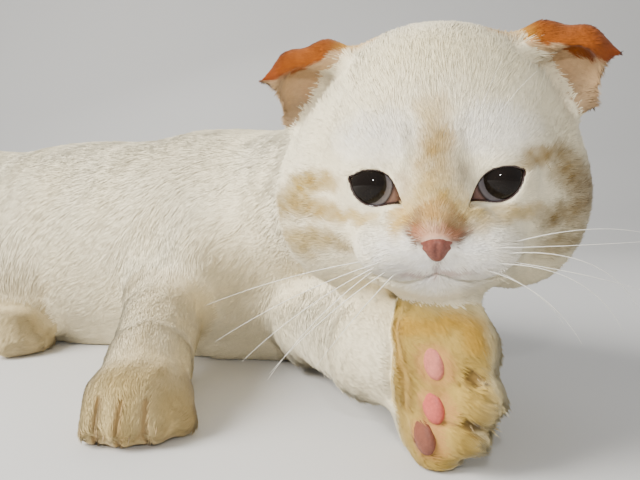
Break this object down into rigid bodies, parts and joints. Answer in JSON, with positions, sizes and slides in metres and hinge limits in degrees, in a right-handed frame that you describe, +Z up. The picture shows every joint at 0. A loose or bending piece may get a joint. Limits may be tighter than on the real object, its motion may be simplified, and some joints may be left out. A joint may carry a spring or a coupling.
{
  "type": "scottish fold cat",
  "caption": "Life-size model of a cream cat with folded ginger ears, lying on its chest with one forepaw held up to show its pads.",
  "frame": {"origin": "on the floor, under the middle of the model's bounding box", "axes": "+X to the right as the picture is taken, which is the cat's left as it looks towards -Y, +Y away from the camera, +Z up; the back runs from the head towards -X and +Y"},
  "size_m": [0.451, 0.3504, 0.1508],
  "materials": {
    "coat_cream": "short dense fur, matt",
    "coat_warm_cream": "short dense fur, matt",
    "coat_ginger": "very short fur, matt",
    "eye": "wet gloss"
  },
  "bodies": {
    "root": {"head": "coat_cream", "neck": "coat_cream", "torso": "coat_cream", "upper_foreleg_left": "coat_cream", "upper_foreleg_right": "coat_cream", "foreleg_left": "coat_cream", "foreleg_right": "coat_cream", "forepaw_left": "coat_warm_cream", "forepaw_right": "coat_warm_cream", "thigh_left": "coat_cream", "thigh_right": "coat_cream", "hind_foot_left": "coat_warm_cream", "hind_foot_right": "coat_warm_cream", "tail_base": "coat_cream", "tail_middle": "coat_cream", "tail_tip": "coat_cream", "ear_left": "coat_ginger", "ear_right": "coat_ginger", "eye_left": "eye", "eye_right": "eye"}
  },
  "joints": []
}
